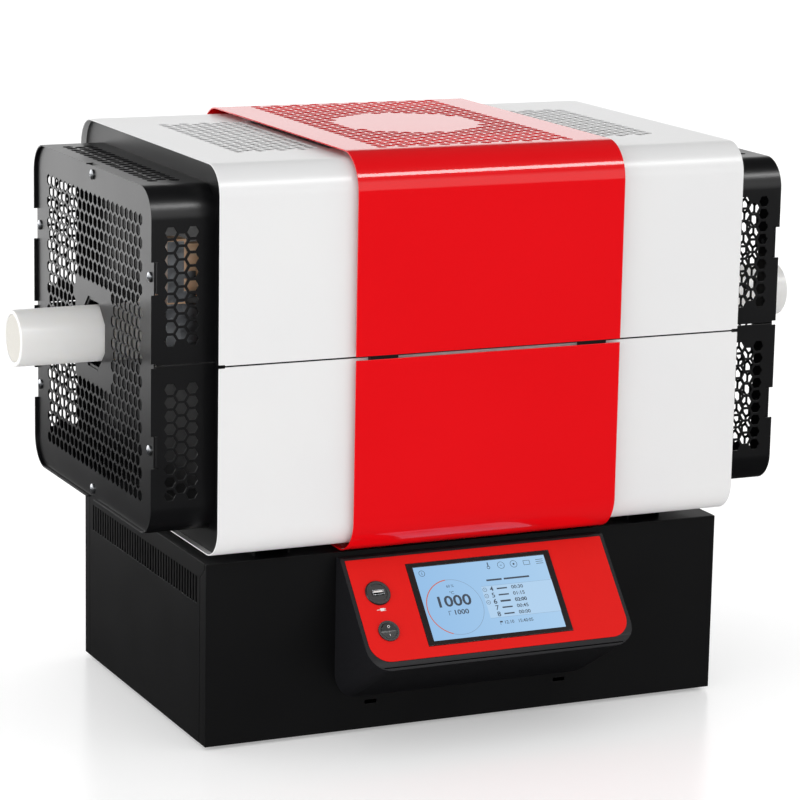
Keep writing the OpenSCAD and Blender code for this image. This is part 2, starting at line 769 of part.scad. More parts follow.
module element_former() color("#e6e0d2") on_axis() rotate([0, 90, 0]) difference() {
    cylinder(h = former_l, d = former_od, center = true);
    cylinder(h = former_l + 2 * past, d = former_id, center = true);
}

function coil_point(step, corner) =
    let (turn = 360 * step / coil_steps + lead_angle,
         r = coil_r + wire_r * cos(90 * corner),
         x = -coil_l / 2 + coil_pitch * step / coil_steps + wire_r * sin(90 * corner))
    [x, r * cos(turn), r * sin(turn)];

module heating_coil() color("#8d8378") on_axis() {
    last = coil_turns * coil_steps;
    points = [for (s = [0 : last], c = [0 : 3]) coil_point(s, c)];
    walls = [for (s = [0 : last - 1], c = [0 : 3])
        [4 * s + c, 4 * s + (c + 1) % 4, 4 * s + 4 + (c + 1) % 4, 4 * s + 4 + c]];
    far_end = [4 * last, 4 * last + 1, 4 * last + 2, 4 * last + 3];
    polyhedron(points, concat([[3, 2, 1, 0]], walls, [far_end]));
}

module element_leads() color("#b08b62") on_axis() {
    end_x = -wall_x - 12;
    block = [-rim_x + guard_out / 2 + 4, terminal_y + terminal_d / 2 + lead_r + fit, 0];
    for (k = [0, 1]) {
        r = k == 0 ? coil_r : return_r;
        from = k == 0 ? -coil_l / 2 - wire_r - fit : coil_l / 2 + lead_r;
        along = [0, r * cos(lead_angle), r * sin(lead_angle)];
        top = [block[0], block[1], terminal_z - terminal_h / 4 + k * terminal_h / 2];
        rod([from, 0, 0] + along, [end_x, 0, 0] + along, lead_r);
        translate([end_x, 0, 0] + along) sphere(lead_r + fit);
        rod([end_x, 0, 0] + along, top, lead_r);
    }
    out = [coil_l / 2 + lead_r, return_r * cos(lead_angle), return_r * sin(lead_angle)];
    inner = coil_r + wire_r + fit;
    rod([out[0], inner * cos(lead_angle), inner * sin(lead_angle)], out, lead_r);
    translate(out) sphere(lead_r + fit);
}

module left_tube_collar() color("#f0ede6") collar_form(left);
module right_tube_collar() color("#f0ede6") collar_form(right);

module collar_form(side) at_end(side) rotate([0, 90, 0]) difference() {
    from = former_l / 2 + fit;
    union() {
        translate([0, 0, from]) cylinder(h = casing_w / 2 - sheet - 2 * fit - from, d = former_od);
        translate([0, 0, from]) cylinder(h = wall_x + collar_out - from, d = collar_od);
    }
    translate([0, 0, from - past]) cylinder(h = wall_x, d = tube_od + 2 * tube_clearance);
}

module thermocouple() color("#9aa0a6") on_axis() translate([thermo_x, 0, 0]) {
    translate([0, 0, former_od / 2 + fit]) cylinder(h = casing_h / 2 + 4 - former_od / 2, r = thermo_r);
    translate([-thermo_head / 2, -thermo_head / 3, casing_h / 2 + fit])
        cube([thermo_head, thermo_head * 2 / 3, thermo_head * 0.58]);
}

module terminal_block() color("#e8dccb") on_axis()
    translate([-rim_x + guard_out / 2 - 8, terminal_y - terminal_d / 2, terminal_z - terminal_h / 2]) {
        difference() {
            cube([20, terminal_d, terminal_h]);
            for (z = [terminal_h / 4, 3 * terminal_h / 4]) translate([10, -past, z]) rotate([-90, 0, 0])
                cylinder(h = terminal_d + 2 * past, r = 3);
        }
        translate([20, terminal_d / 2 - 6, 6]) cube([guard_out / 2 + end_recess - 12, 12, terminal_h - 12]);
    }

// ---- work tube ----

module work_tube() color("#ececea") on_axis() rotate([0, 90, 0]) difference() {
    translate([0, 0, -tube_left]) cylinder(h = tube_left + tube_right, d = tube_od);
    translate([0, 0, -tube_left - past]) cylinder(h = tube_left + tube_right + 2 * past, d = tube_id);
}

module tube_plug(x) color("#f2f1ee") on_axis() translate([x, 0, 0]) rotate([0, 90, 0])
    cylinder(h = plug_l, d = tube_id - 2 * fit);

module left_tube_plug() tube_plug(-tube_left + plug_in);
module right_tube_plug() tube_plug(tube_right - plug_in - plug_l);

// ---- end guards, drawn at the right end ----

module screw_tab(width) {
    translate([0, 0, -width / 2 + 1]) linear_extrude(width - 2) {
        intersection() {
            translate([tab_x, tab_r]) difference() {
                circle(tab_r);
                circle(tab_r - sheet);
            }
            translate([tab_x, 0]) square(tab_r);
        }
        translate([plate_x - sheet, tab_r]) square([sheet, tab_l - tab_r]);
    }
}

module tab_notch(width) translate([tab_x, -past, -width / 2]) cube([guard_out, tab_r + past, width]);

module at_tabs() for (k = [0, 1]) {
    for (s = [-1, 1]) mirror([0, k, 0]) translate([0, -guard_d / 2, s * side_tab_z]) children(0);
    rotate([-90 + 180 * k, 0, 0]) translate([0, -guard_h / 2, 0]) children(1);
}

module guard_half(side, half) color("#19191b") at_end(side) difference() {
    union() {
        difference() {
            along_x(wall_x, rim_x) half_ring(guard_d, guard_h, guard_r, sheet, guard_gap, half);
            at_tabs() {
                tab_notch(side_tab_w);
                tab_notch(top_tab_w);
            }
        }
        along_x(wall_x, wall_x + sheet) half_ring(guard_d, guard_h, guard_r, guard_flange, guard_gap, half);
        intersection() {
            at_tabs() {
                screw_tab(side_tab_w);
                screw_tab(top_tab_w);
            }
            translate([0, -guard_d, half > 0 ? 0 : -guard_h]) cube([2 * rim_x, 2 * guard_d, guard_h]);
        }
    }
    translate([rim_x - 5, -guard_d, -2.25]) cube([10, 2 * guard_d, 4.5]);
    at_screws() translate([0, 0, -screw_l - past]) cylinder(h = screw_l + 2 * past, d = screw_d + 2 * fit);
    column_mid = half * (guard_first_hole + (guard_column_holes - 1) / 2 * hole_pitch);
    translate([rim_x - guard_column_in, 0, column_mid]) rotate([90, 0, 0])
        linear_extrude(2 * guard_d, center = true) hexagons(guard_columns, guard_column_holes);
    if (half > 0) translate([rim_x - guard_column_in, 0, guard_h / 2 - 2 * sheet])
        linear_extrude(4 * sheet) hexagons(guard_columns, guard_top_holes);
}

module left_upper_guard() guard_half(left, up);
module left_lower_guard() guard_half(left, down);
module right_upper_guard() guard_half(right, up);
module right_lower_guard() guard_half(right, down);

module at_screws() for (at = screw_places)
    translate([plate_x + sheet, at[0], at[1]]) rotate([0, 90, 0]) children();

module plate_holes() {
    for (row = [0 : plate_rows - 1]) {
        z = (row - (plate_rows - 1) / 2) * row_pitch;
        short = row % 2;
        for (k = [0 : plate_row_holes - 1 - short]) {
            y = (k - (plate_row_holes - 1 - short) / 2) * hole_pitch;
            plain = abs(z) < plain_rows / 2 * row_pitch && abs(y) < plain_half_w;
            if (!plain) translate([y, z]) rotate(30) circle(hole_flats / sqrt(3), $fn = 6);
        }
    }
}

module end_plate(side) color("#19191b") at_end(side) along_x(plate_x, plate_x + sheet) difference() {
    rounded(guard_d - 2 * sheet - 2 * fit, guard_h - 2 * sheet - 2 * fit, guard_r - sheet - fit);
    octagon(opening_flats);
    plate_holes();
    for (at = screw_places) translate(at) circle(d = screw_d + 2 * fit);
}

module left_end_plate() end_plate(left);
module right_end_plate() end_plate(right);

module backing_plate(side) color("#19191b") at_end(side) along_x(plate_x - sheet, plate_x) difference() {
    square(backing_w, center = true);
    octagon(opening_flats - 2 * opening_step);
}

module left_backing_plate() backing_plate(left);
module right_backing_plate() backing_plate(right);

module guard_screws(side) color("#c4c6c8") at_end(side) at_screws() {
    difference() {
        intersection() {
            cylinder(h = screw_head_h, d = screw_head_d);
            translate([0, 0, screw_head_h - screw_head_d]) sphere(screw_head_d);
        }
        for (a = [0, 90]) rotate([0, 0, a]) translate([-screw_head_d / 4, -cross_w / 2, screw_head_h - 1.6])
            cube([screw_head_d / 2, cross_w, 2]);
    }
    translate([0, 0, -screw_l]) cylinder(h = screw_l, d = screw_d);
}

module left_guard_screws() guard_screws(left);
module right_guard_screws() guard_screws(right);

// ---- the nodes ----

in_frame() {
    base_floor();
    base_top_panel();
    front_panel();
    side_panel(left);  // left_side_panel
    side_panel(right);  // right_side_panel
    rear_panel();
    rubber_feet();
    mains_inlet();
    solid_state_relay();
    control_board();
    console_housing();
    console_overlay();
    display_bezel();
    display_screen();
    usb_socket();
    power_switch_body();
    power_switch_rocker();
    body_rails();
    lower_shell();
    upper_shell();
    seam_strips();
    lower_band();
    upper_band();
    band_seam_brackets();
    band_spacers();
    left_end_wall();
    right_end_wall();
    lower_casing();
    upper_casing();
    casing_stands();
    lower_insulation();
    upper_insulation();
    element_former();
    heating_coil();
    element_leads();
    left_tube_collar();
    right_tube_collar();
    thermocouple();
    terminal_block();
    work_tube();
    left_tube_plug();
    right_tube_plug();
    left_upper_guard();
    left_lower_guard();
    left_end_plate();
    left_backing_plate();
    left_guard_screws();
    right_upper_guard();
    right_lower_guard();
    right_end_plate();
    right_backing_plate();
    right_guard_screws();
}
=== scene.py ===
# %% [markdown]
# # A bench-top tube furnace
#
# The furnace is a heated body on a control base. Two white sheet-metal shells and a red band wrap
# the heater, black perforated guards keep hands off the hot ends, and a loose ceramic tube runs
# through it all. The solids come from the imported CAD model, so this script never moves or resizes
# them. It gives them their finishes, replaces the sheet-metal parts by copies with soft folded
# edges, and adds what is too fine for the CAD: the picture on the screen, the printed marks and
# the socket's metal shell.

# %% Load the frame
import json
import math

import bpy
from mathutils import Matrix, Vector


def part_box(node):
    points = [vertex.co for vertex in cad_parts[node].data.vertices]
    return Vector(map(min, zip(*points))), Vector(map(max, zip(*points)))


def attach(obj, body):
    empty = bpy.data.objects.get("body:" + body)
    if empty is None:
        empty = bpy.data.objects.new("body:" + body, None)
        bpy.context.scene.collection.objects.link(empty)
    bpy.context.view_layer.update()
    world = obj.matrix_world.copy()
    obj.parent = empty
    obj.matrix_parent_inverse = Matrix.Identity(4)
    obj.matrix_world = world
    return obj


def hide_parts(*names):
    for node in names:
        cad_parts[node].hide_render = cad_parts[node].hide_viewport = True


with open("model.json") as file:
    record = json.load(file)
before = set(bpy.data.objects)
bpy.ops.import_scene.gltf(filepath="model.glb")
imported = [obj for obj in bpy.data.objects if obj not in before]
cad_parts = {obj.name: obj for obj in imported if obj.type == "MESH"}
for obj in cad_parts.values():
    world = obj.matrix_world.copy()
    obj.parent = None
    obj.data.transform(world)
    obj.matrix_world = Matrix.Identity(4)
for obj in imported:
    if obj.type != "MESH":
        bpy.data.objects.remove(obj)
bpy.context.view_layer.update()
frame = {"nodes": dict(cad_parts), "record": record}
nodes = frame["nodes"]

# %% [markdown]
# ## Small helpers
#
# Blender works in metres while every size of the furnace is known in millimetres, so one function
# turns one into the other. Operators act on all that is selected, and loading a model leaves it
# selected, so each step starts by picking exactly what it works on.


# %% Helpers
def mm(value):
    return value / 1000


def pick(*pieces):
    bpy.ops.object.select_all(action="DESELECT")
    for piece in pieces:
        piece.select_set(True)
    bpy.context.view_layer.objects.active = pieces[0]


def bake(piece, matrix):
    """Puts a piece's place into its mesh, so that its own origin stays at the world's."""
    piece.matrix_world = matrix @ piece.matrix_world
    pick(piece)
    bpy.ops.object.transform_apply(location=True, rotation=True, scale=True)


def join(name, pieces):
    pick(*pieces)
    if len(pieces) > 1:
        bpy.ops.object.join()
    piece = bpy.context.active_object
    piece.name = name
    return piece


# %% [markdown]
# ## Colours and nodes
#
# Paint charts and screens give colours as sRGB hex values, but the renderer adds light in linear
# numbers. One function turns one into the other. A second adds a shader node with its settings
# and its links in one call, which keeps each finish short enough to read.


# %% Colour and node helpers
def linear(hex_colour):
    parts = [int(hex_colour[i : i + 2], 16) / 255 for i in (1, 3, 5)]
    curve = [c / 12.92 if c <= 0.04045 else ((c + 0.055) / 1.055) ** 2.4 for c in parts]
    return (*curve, 1)


def add(tree, kind, settings=None, links=None):
    node = tree.nodes.new(kind)
    for key, value in (settings or {}).items():
        if isinstance(key, int) or key in node.inputs:
            node.inputs[key].default_value = value
        else:
            setattr(node, key, value)
    for key, source in (links or {}).items():
        tree.links.new(source, node.inputs[key])
    return node


def finish(name, colour, **sockets):
    """A new material, its tree, its shader and the object coordinates that its patterns read."""
    material = bpy.data.materials.new(name)
    material.use_nodes = True
    tree = material.node_tree
    shader = tree.nodes["Principled BSDF"]
    shader.inputs["Base Color"].default_value = linear(colour)
    for key, value in sockets.items():
        shader.inputs[key.replace("_", " ")].default_value = value
    place = tree.nodes.new("ShaderNodeTexCoord").outputs["Object"]
    return material, tree, shader, place


def cloud(tree, place, size, detail=3):
    """Smooth noise whose blotches are about size millimetres across."""
    return add(tree, "ShaderNodeTexNoise", {"Scale": 1 / mm(size), "Detail": detail}, {"Vector": place})


def raise_grain(tree, shader, pattern, depth, strength=1.0):
    """Lets a pattern stand up from the surface by depth millimetres."""
    bump = add(tree, "ShaderNodeBump", {"Strength": strength, "Distance": mm(depth)}, {"Height": pattern})
    tree.links.new(bump.outputs["Normal"], shader.inputs["Normal"])


def vary(tree, shader, socket, pattern, low, high):
    """Lets a pattern move a number on the shader between low and high."""
    spread = add(tree, "ShaderNodeMapRange", {"To Min": low, "To Max": high}, {"Value": pattern})
    tree.links.new(spread.outputs["Result"], shader.inputs[socket])


def blend(tree, pattern, first, second):
    """A colour that a pattern moves between two hex values."""
    mix = add(tree, "ShaderNodeMix", {"data_type": "RGBA"}, {0: pattern})
    mix.inputs[6].default_value = linear(first)
    mix.inputs[7].default_value = linear(second)
    return mix.outputs[2]


def tint(tree, shader, pattern, first, second):
    tree.links.new(blend(tree, pattern, first, second), shader.inputs["Base Color"])


# %% [markdown]
# ## Powder coat, black
#
# The base, the console and the guards are steel sheet with a fine-textured black powder coat. The
# powder melts into tiny hills, so the surface is matt with a broad grey sheen at a flat angle. The
# real grains are about 0.3 mm, too fine to show, so they are drawn at 1.2 mm. The guards and the
# plates at the ends have a closer, smoother coat, which mirrors a bright card at a flat angle.


# %% Black powder coat
def make_black_coat(name, first, second, rough, specular):
    material, tree, shader, place = finish(name, first, Specular_IOR_Level=specular, IOR=1.5)
    grain = cloud(tree, place, 1.2)
    drift = cloud(tree, place, 90, 2)
    raise_grain(tree, shader, grain.outputs["Fac"], 0.06, 0.5)
    vary(tree, shader, "Roughness", drift.outputs["Fac"], rough - 0.04, rough + 0.05)
    tint(tree, shader, grain.outputs["Fac"], first, second)
    return material


black_coat = make_black_coat("black_powder_coat", "#050506", "#0c0c0e", 0.38, 0.34)
guard_coat = make_black_coat("guard_powder_coat", "#08080a", "#111113", 0.3, 0.5)
console_coat = make_black_coat("console_powder_coat", "#151517", "#242427", 0.42, 0.15)

# %% [markdown]
# ## Powder coat, white
#
# The shells carry a smooth satin powder coat. It flows out almost like enamel but keeps a faint
# orange-peel wave a few millimetres across, which breaks up long highlights.


# %% White powder coat
def make_white_coat():
    material, tree, shader, place = finish("white_powder_coat", "#ededed", Roughness=0.3, IOR=1.5)
    peel = cloud(tree, place, 4, 2)
    drift = cloud(tree, place, 140, 2)
    raise_grain(tree, shader, peel.outputs["Fac"], 0.05, 0.25)
    vary(tree, shader, "Roughness", drift.outputs["Fac"], 0.27, 0.34)
    tint(tree, shader, drift.outputs["Fac"], "#ebebec", "#f0f0ef")
    return material


white_coat = make_white_coat()

# %% [markdown]
# ## Gloss enamel, red
#
# The band is sprayed in a high-gloss red. A clear coat over the colour gives the sharp bright
# line along its bends, and the colour below stays rough enough to look deep.


# %% Red enamel
def make_red_enamel():
    material, tree, shader, place = finish(
        "red_gloss_enamel",
        "#e9030e",
        Roughness=0.4,
        Specular_IOR_Level=0.06,
        Coat_Weight=1.0,
        Coat_Roughness=0.05,
    )
    peel = cloud(tree, place, 5, 2)
    drift = cloud(tree, place, 160, 2)
    raise_grain(tree, shader, peel.outputs["Fac"], 0.04, 0.2)
    vary(tree, shader, "Roughness", drift.outputs["Fac"], 0.28, 0.36)
    tint(tree, shader, drift.outputs["Fac"], "#e7030e", "#ed0411")
    return material


red_enamel = make_red_enamel()

# %% [markdown]
# ## Polyester film, red
#
# The console's face is a printed polyester film with a velvet surface. Its grain is finer and
# flatter than paint, so it looks even and slightly warmer than the band.


# %% Red film
def make_red_film():
    material, tree, shader, place = finish(
        "red_polyester_film", "#ec1a17", Roughness=0.45, Specular_IOR_Level=0.04
    )
    velvet = cloud(tree, place, 0.9, 2)
    raise_grain(tree, shader, velvet.outputs["Fac"], 0.02, 0.3)
    vary(tree, shader, "Roughness", velvet.outputs["Fac"], 0.4, 0.5)
    tint(tree, shader, velvet.outputs["Fac"], "#e61b18", "#ec201c")
    return material


red_film = make_red_film()

# %% [markdown]
# ## Plastics and rubber
#
# The socket ring, the switch and the inlet are moulded ABS with a spark-eroded texture, and the
# feet are rubber. Both are near-black, and their roughness tells them apart: the rubber
# swallows light, the plastic shows a soft glint along its edges.


# %% Plastics and rubber
def make_black_abs():
    material, tree, shader, place = finish("black_abs", "#19191a", Roughness=0.34, IOR=1.53)
    spark = cloud(tree, place, 0.8, 2)
    raise_grain(tree, shader, spark.outputs["Fac"], 0.03, 0.3)
    vary(tree, shader, "Roughness", spark.outputs["Fac"], 0.28, 0.42)
    return material


def make_rubber():
    material, tree, shader, place = finish("black_rubber", "#121212", Roughness=0.8, IOR=1.52)
    bloom = cloud(tree, place, 6, 3)
    tint(tree, shader, bloom.outputs["Fac"], "#0e0e0e", "#1a1a19")
    raise_grain(tree, shader, bloom.outputs["Fac"], 0.05, 0.3)
    return material


def make_bezel_glass():
    material, tree, shader, place = finish("dark_display_border", "#2b2626", Roughness=0.1, IOR=1.52)
    haze = cloud(tree, place, 30, 2)
    vary(tree, shader, "Roughness", haze.outputs["Fac"], 0.07, 0.12)
    return material


def make_white_print():
    material, tree, shader, place = finish("white_ink", "#f0efec", Roughness=0.5)
    ink = cloud(tree, place, 0.7, 2)
    vary(tree, shader, "Roughness", ink.outputs["Fac"], 0.42, 0.58)
    return material


black_abs = make_black_abs()
rubber = make_rubber()
bezel_glass = make_bezel_glass()
white_print = make_white_print()

# %% [markdown]
# ## The lit screen
#
# A touch screen glows, so its blue is given as light as well as colour. Its glow runs from a cooler left to
# a
# paler right: a painted brightening that stands in for how a flat panel looks at an angle.


# %% Lit screen
def make_screen_glow():
    material, tree, shader, place = finish("lit_screen", "#10151a", Roughness=0.12, Specular_IOR_Level=0.12)
    low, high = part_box("display_screen")
    across = add(tree, "ShaderNodeSeparateXYZ", {}, {"Vector": place})
    spread = add(
        tree,
        "ShaderNodeMapRange",
        {"From Min": low.x, "From Max": high.x},
        {"Value": across.outputs["X"]},
    )
    # Painted brightening: the glow colour turns paler towards the right, standing in for the panel seen at
    # an angle.
    glow = blend(tree, spread.outputs["Result"], "#98c2ea", "#acd0f0")
    tree.links.new(glow, shader.inputs["Emission Color"])
    shader.inputs["Emission Strength"].default_value = 0.97
    return material


def make_screen_ink(name, colour, glow):
    material, tree, shader, place = finish(name, "#10151a", Roughness=0.3, Specular_IOR_Level=0.12)
    shader.inputs["Emission Color"].default_value = linear(colour)
    shader.inputs["Emission Strength"].default_value = glow
    pixels = cloud(tree, place, 0.6, 1)
    vary(tree, shader, "Roughness", pixels.outputs["Fac"], 0.25, 0.35)
    return material


screen_glow = make_screen_glow()
screen_dark = make_screen_ink("screen_dark_figures", "#48515e", 0.8)
screen_pale = make_screen_ink("screen_pale_field", "#b2d2ef", 0.97)
screen_grey = make_screen_ink("screen_grey_lines", "#8aa3bd", 0.9)
screen_red = make_screen_ink("screen_red_line", "#cc6a50", 0.95)

# %% [markdown]
# ## Metals
#
# Galvanised sheet shows zinc crystals about 12 mm across, each tilted a little, so a cell pattern
# moves its roughness and its grey. The zinc-plated screws and the aluminium heat sink are
# brighter and finer. The heating wire is dark with scale.


# %% Metals
def make_galvanised():
    material, tree, shader, place = finish("galvanised_steel", "#9c9fa3", Metallic=1.0, Roughness=0.45)
    spangle = add(tree, "ShaderNodeTexVoronoi", {"Scale": 1 / mm(12)}, {"Vector": place})
    shade = add(tree, "ShaderNodeSeparateColor", {}, {"Color": spangle.outputs["Color"]})
    vary(tree, shader, "Roughness", shade.outputs["Red"], 0.35, 0.55)
    tint(tree, shader, shade.outputs["Green"], "#8b8e92", "#adb0b4")
    return material


def make_bright_zinc():
    material, tree, shader, place = finish("bright_zinc_plate", "#c9ccd0", Metallic=1.0, Roughness=0.28)
    turning = cloud(tree, place, 0.8, 2)
    vary(tree, shader, "Roughness", turning.outputs["Fac"], 0.2, 0.38)
    return material


def make_aluminium():
    material, tree, shader, place = finish("extruded_aluminium", "#b8babd", Metallic=1.0, Roughness=0.35)
    stretch = add(tree, "ShaderNodeMapping", {"Scale": (1, 0.02, 1)}, {"Vector": place})
    lines = cloud(tree, stretch.outputs["Vector"], 1.5, 3)
    vary(tree, shader, "Roughness", lines.outputs["Fac"], 0.28, 0.45)
    return material


def make_scaled_wire():
    material, tree, shader, place = finish("scaled_heating_wire", "#5c5048", Metallic=0.6, Roughness=0.6)
    scale = cloud(tree, place, 2, 3)
    tint(tree, shader, scale.outputs["Fac"], "#453b35", "#74675d")
    return material


def make_copper():
    material, tree, shader, place = finish("tinned_copper", "#b07840", Metallic=1.0, Roughness=0.35)
    tarnish = cloud(tree, place, 5, 3)
    tint(tree, shader, tarnish.outputs["Fac"], "#9c6432", "#c98c50")
    return material


galvanised = make_galvanised()
bright_zinc = make_bright_zinc()
aluminium = make_aluminium()
scaled_wire = make_scaled_wire()
copper = make_copper()

# %% [markdown]
# ## Ceramics and fibre
#
# The work tube is extruded and fired alumina: white, a little see-through at the edges, with long
# faint marks from the die. Porcelain is creamier. Ceramic fibre is a pressed wool, so it is rough
# and shows short tangled threads.


# %% Ceramics and fibre
def make_alumina():
    material, tree, shader, place = finish(
        "fired_alumina", "#fbfaf8", Roughness=0.34, IOR=1.7, Subsurface_Weight=0.15, Subsurface_Scale=0.004
    )
    shader.inputs["Subsurface Radius"].default_value = (1.0, 0.9, 0.75)
    along = add(tree, "ShaderNodeMapping", {"Scale": (0.03, 1, 1)}, {"Vector": place})
    die_marks = cloud(tree, along.outputs["Vector"], 3, 3)
    firing = cloud(tree, place, 60, 2)
    raise_grain(tree, shader, die_marks.outputs["Fac"], 0.05, 0.3)
    vary(tree, shader, "Roughness", die_marks.outputs["Fac"], 0.28, 0.42)
    tint(tree, shader, firing.outputs["Fac"], "#f8f7f4", "#fdfcfa")
    return material


def make_porcelain():
    material, tree, shader, place = finish("porcelain", "#eed2ae", Roughness=0.3, IOR=1.55)
    firing = cloud(tree, place, 12, 3)
    tint(tree, shader, firing.outputs["Fac"], "#f0b27c", "#f6dcc0")
    return material


def make_fibre():
    material, tree, shader, place = finish("ceramic_fibre", "#efece5", Roughness=0.95, Sheen_Weight=0.2)
    threads = add(
        tree,
        "ShaderNodeTexNoise",
        {"Scale": 1 / mm(2), "Detail": 6, "Distortion": 2.5},
        {"Vector": place},
    )
    raise_grain(tree, shader, threads.outputs["Fac"], 0.4, 0.6)
    tint(tree, shader, threads.outputs["Fac"], "#cfccc3", "#e6e3dc")
    return material


def make_circuit_board():
    material, tree, shader, place = finish("solder_mask", "#1f5b38", Roughness=0.35)
    tracks = add(tree, "ShaderNodeTexVoronoi", {"Scale": 1 / mm(6)}, {"Vector": place})
    tint(tree, shader, tracks.outputs["Distance"], "#1a4d30", "#2f7a4c")
    return material


alumina = make_alumina()
porcelain = make_porcelain()
fibre = make_fibre()
circuit_board = make_circuit_board()

# %% [markdown]
# ## Finishes on the solids
#
# Each CAD node whose shape is already right keeps it and only takes a finish. The table pairs
# them up.


# %% Finishes on the solids
def paint(piece, material):
    piece.data.materials.clear()
    piece.data.materials.append(material)


FINISHES = {
    black_coat: (
        "base_floor base_top_panel front_panel left_side_panel right_side_panel rear_panel body_rails "
        "seam_strips band_seam_brackets left_end_wall right_end_wall"
    ),
    guard_coat: (
        "left_upper_guard left_lower_guard left_end_plate left_backing_plate "
        "right_upper_guard right_lower_guard right_end_plate right_backing_plate"
    ),
    console_coat: "console_housing",
    white_coat: "upper_shell lower_shell",
    red_enamel: "upper_band lower_band",
    red_film: "console_overlay",
    bezel_glass: "display_bezel",
    screen_glow: "display_screen",
    black_abs: "usb_socket power_switch_body power_switch_rocker mains_inlet",
    rubber: "rubber_feet",
    galvanised: "band_spacers upper_casing lower_casing casing_stands",
    bright_zinc: "left_guard_screws right_guard_screws thermocouple",
    aluminium: "solid_state_relay",
    circuit_board: "control_board",
    scaled_wire: "heating_coil",
    copper: "element_leads",
    porcelain: "terminal_block element_former",
    fibre: (
        "upper_insulation lower_insulation left_tube_collar right_tube_collar "
        "left_tube_plug right_tube_plug"
    ),
    alumina: "work_tube",
}
finish_of = {}
for material, names in FINISHES.items():
    for name in names.split():
        paint(nodes[name], material)
        finish_of[name] = material
print("finished", len(finish_of), "of", len(nodes))

# %% [markdown]
# ## Soft edges on sheet metal
#
# A laser-cut edge with powder coat on it is never a knife edge: the coat rounds it by a few tenths
# of a millimetre, and that thin round line is what catches the light. A CAD mesh is loose
# triangles, so a copy is merged first, its flat triangles are dissolved into whole faces, and then
# a bevel rounds every edge sharper than the limit. Smooth shading would bend the light over the
# large flats too, so the normals are weighted by area, which keeps a flat face flat. The copy
# stands for its node.
#
# The red band floats off the shell with its sides open, so a shadow shows under its edge. Its CAD
# solid has a return flange on either side, which a cut with the band's own inside takes off here.


# %% Rounded copies
BODY_OF = {name: body for body, names in frame["record"]["behaviour"]["bodies"].items() for name in names}
OPEN_SIDED = ("upper_band", "lower_band")
SHEET = 1.5
SHAVE = 0.1
BAND_CORNER = 39.5


def band_core():
    """A solid that fills the red band up to the inside of its sheet, and just into it."""
    low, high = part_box("lower_band")
    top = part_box("upper_band")[1]
    middle = Vector(((low.x + high.x) / 2, (low.y + high.y) / 2, (low.z + top.z) / 2))
    inside = mm(SHEET - SHAVE)
    deep, tall = high.y - low.y - 2 * inside, top.z - low.z - 2 * inside
    bpy.ops.mesh.primitive_plane_add(size=1)
    core = bpy.context.active_object
    bake(core, Matrix.Rotation(math.pi / 2, 4, "Y") @ Matrix.Diagonal((tall, deep, 1, 1)))
    bpy.ops.object.mode_set(mode="EDIT")
    bpy.ops.mesh.select_all(action="SELECT")
    bpy.ops.mesh.bevel(affect="VERTICES", offset=mm(BAND_CORNER) - inside, segments=16)
    bpy.ops.mesh.select_all(action="SELECT")
    width = high.x - low.x + mm(2)
    bpy.ops.mesh.extrude_region_move(TRANSFORM_OT_translate={"value": (width, 0, 0)})
    bpy.ops.mesh.select_all(action="SELECT")
    bpy.ops.mesh.normals_make_consistent(inside=False)
    bpy.ops.object.mode_set(mode="OBJECT")
    bake(core, Matrix.Translation(middle - Vector((width / 2, 0, 0))))
    return core


def rounded_copy(name, edge, segments=2, limit=35):
    piece = nodes[name].copy()
    piece.data = nodes[name].data.copy()
    piece.name = name + "_finished"
    for key in list(piece.keys()):
        del piece[key]
    bpy.context.scene.collection.objects.link(piece)
    piece.parent = None
    pick(piece)
    bpy.ops.mesh.customdata_custom_splitnormals_clear()
    bpy.ops.object.mode_set(mode="EDIT")
    bpy.ops.mesh.select_all(action="SELECT")
    bpy.ops.mesh.remove_doubles(threshold=mm(0.01))
    bpy.ops.mesh.dissolve_limited(angle_limit=math.radians(0.5))
    bpy.ops.object.mode_set(mode="OBJECT")
    if name in OPEN_SIDED:
        core = band_core()
        pick(piece)
        cut = piece.modifiers.new("open_sides", "BOOLEAN")
        cut.operation = "DIFFERENCE"
        cut.solver = "EXACT"
        cut.object = core
        bpy.ops.object.modifier_apply(modifier=cut.name)
        bpy.data.objects.remove(core)
    bevel = piece.modifiers.new("coat", "BEVEL")
    bevel.width = mm(edge)
    bevel.segments = segments
    bevel.limit_method = "ANGLE"
    bevel.angle_limit = math.radians(limit)
    bpy.ops.object.modifier_apply(modifier=bevel.name)
    bpy.ops.object.shade_smooth_by_angle(angle=math.radians(50))
    flatten = piece.modifiers.new("flats", "WEIGHTED_NORMAL")
    flatten.keep_sharp = True
    bpy.ops.object.modifier_apply(modifier=flatten.name)
    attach(piece, BODY_OF[name])
    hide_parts(name)
    return piece


EDGES = {
    "upper_shell": 0.5,
    "lower_shell": 0.5,
    "upper_band": 0.5,
    "lower_band": 0.5,
    "left_upper_guard": 0.35,
    "left_lower_guard": 0.35,
    "right_upper_guard": 0.35,
    "right_lower_guard": 0.35,
    "left_end_plate": 0.3,
    "right_end_plate": 0.3,
    "left_end_wall": 0.4,
    "right_end_wall": 0.4,
    "front_panel": 0.6,
    "rear_panel": 0.5,
    "left_side_panel": 0.4,
    "right_side_panel": 0.4,
    "base_top_panel": 0.5,
    "console_housing": 0.6,
    "console_overlay": 0.25,
    "display_bezel": 0.4,
    "usb_socket": 0.25,
    "power_switch_body": 0.3,
    "power_switch_rocker": 0.3,
    "mains_inlet": 0.4,
    "work_tube": 1.2,
    "terminal_block": 0.8,
}
for name, edge in EDGES.items():
    piece = rounded_copy(name, edge, 3 if name == "work_tube" else 1 if "plate" in name else 2)
    print(name, len(piece.data.polygons), "faces")

# %% [markdown]
# ## A drawing board on the console's face
#
# The console's face leans back, so everything on it is drawn flat first and then carried there by
# one matrix. Its origin is the middle of the film's top edge, X runs to the right, Y up the slope
# and Z out of the face.

